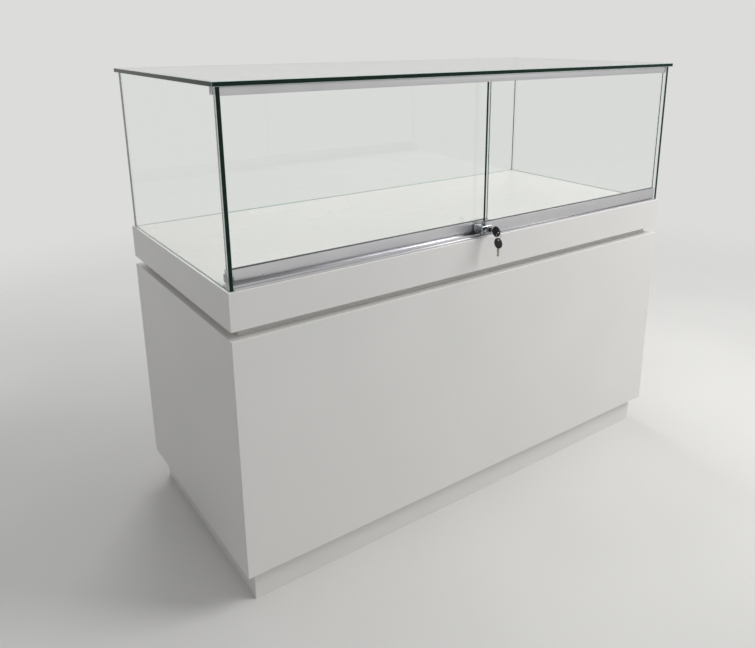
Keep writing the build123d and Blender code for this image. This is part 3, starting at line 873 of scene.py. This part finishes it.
# %% One key
GRIP_RADIUS, GRIP_THICKNESS, HOLE_OUT = 11.5, 3, 7.3
RIM_WIDTH, DISH_DEPTH, RIM_ROUNDING = 1.9, 0.4, 0.7
grip = add_rod("grip_master", mm(0, 0, 0), GRIP_RADIUS * MM, GRIP_THICKNESS * MM, "X", steps=96)
pick(grip, "FACE", lambda middle, normal: abs(normal.x) > 0.9)
bpy.ops.mesh.inset(thickness=RIM_WIDTH * MM, depth=-DISH_DEPTH * MM)
pick(
    grip,
    "EDGE",
    lambda middle, way: hypot(middle.y, middle.z) > 11.3 * MM and abs(middle.x) > 1.4 * MM,
)
bpy.ops.mesh.bevel(offset=RIM_ROUNDING * MM, segments=3, affect="EDGES")
bpy.ops.object.mode_set(mode="OBJECT")
cut(grip, add_rod("hole_tool", mm(0, -HOLE_OUT, 0), 2.2 * MM, 8 * MM, "X", steps=40))

TANG_START, TIP, HALF_HEIGHT = 7.5, 29.5, 3.2
BLADE_THICKNESS = 1.8
NOTCHES, NOTCH_PITCH = 4, 2.4
blade_outline = [
    (TANG_START, -HALF_HEIGHT), (TIP - HALF_HEIGHT, -HALF_HEIGHT), (TIP, -HALF_HEIGHT / 3),
    (TIP, HALF_HEIGHT / 3), (TIP - 3.1, HALF_HEIGHT - 0.06),
]
for number in range(NOTCHES):
    notch = TIP - 4.5 - NOTCH_PITCH * number
    blade_outline.append((notch, HALF_HEIGHT - 1.5))
    if number < NOTCHES - 1:
        blade_outline.append((notch - NOTCH_PITCH / 2, HALF_HEIGHT - 0.3))
    else:
        blade_outline.append((notch - 1.5, HALF_HEIGHT))
blade_outline.append((TANG_START, HALF_HEIGHT))
bit = pull_outline(
    "bit_master",
    [mm(-BLADE_THICKNESS / 2, y, z) for y, z in blade_outline],
    mm(BLADE_THICKNESS, 0, 0),
)
break_edges(bit, 0.12)
cut(bit, add_block("groove_tool", mm(0.4, 11.6, -1.67), mm(2, 31, -0.47)))
print("grip and blade are", len(grip.data.polygons), "and", len(bit.data.polygons), "faces")


# %% Two keys
def copy_to(master, name, move):
    """A copy of a piece with its own mesh, moved into place."""
    piece = master.copy()
    piece.data = master.data.copy()
    piece.name = name
    piece.data.name = name
    bpy.context.scene.collection.objects.link(piece)
    piece.data.transform(move)
    return piece


KEY_Y, SPARE_Y = -301.5, -308.8
spare_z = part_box("spare_key_bow")[0].z / MM + GRIP_RADIUS
hanging = Matrix.Rotation(-pi / 2, 4, "X")
key_places = [
    # body, start of the names, and the move from the origin to the place
    ("lock_plug", "key", Matrix.Translation(mm(LOCK_X, KEY_Y, LOCK_Z))),
    ("spare_key", "spare_key", Matrix.Translation(mm(LOCK_X, SPARE_Y, spare_z)) @ hanging),
]
for body, name, move in key_places:
    bow = copy_to(grip, name + "_grip", move)
    hand_over(bow, body, "black_plastic", [black_plastic], name + "_bow")
    blade = copy_to(bit, name + "_bit", move)
    hand_over(blade, body, "nickel_key", [nickel], name + "_blade")
bpy.data.objects.remove(grip)
bpy.data.objects.remove(bit)

# %% [markdown]
# The keys hang together on a split ring, two turns of spring wire side by side. A small circle is
# swept round with a Screw modifier, which makes both turns at once, and the open ends are filled.

# %% Split ring
RING_RADIUS, WIRE_RADIUS = 7.2, 0.24
bpy.ops.object.select_all(action="DESELECT")
bpy.ops.mesh.primitive_circle_add(
    vertices=12, radius=WIRE_RADIUS * MM, location=mm(RING_RADIUS, -2 * WIRE_RADIUS, 0)
)
ring = settle("split_ring")
apply_modifier(
    ring,
    "SCREW",
    axis="Y",
    angle=2 * pi,
    iterations=2,
    screw_offset=2 * WIRE_RADIUS * MM,
    steps=72,
    render_steps=72,
)
bpy.ops.object.mode_set(mode="EDIT")
bpy.ops.mesh.select_all(action="SELECT")
bpy.ops.mesh.fill_holes(sides=0)
bpy.ops.mesh.select_all(action="SELECT")
bpy.ops.mesh.normals_make_consistent(inside=False)
bpy.ops.object.mode_set(mode="OBJECT")
ring_low, ring_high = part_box("key_ring")
ring.data.transform(Matrix.Translation((ring_low + ring_high) / 2))
hand_over(ring, "key_ring", "ring_wire", [wire], "key_ring")
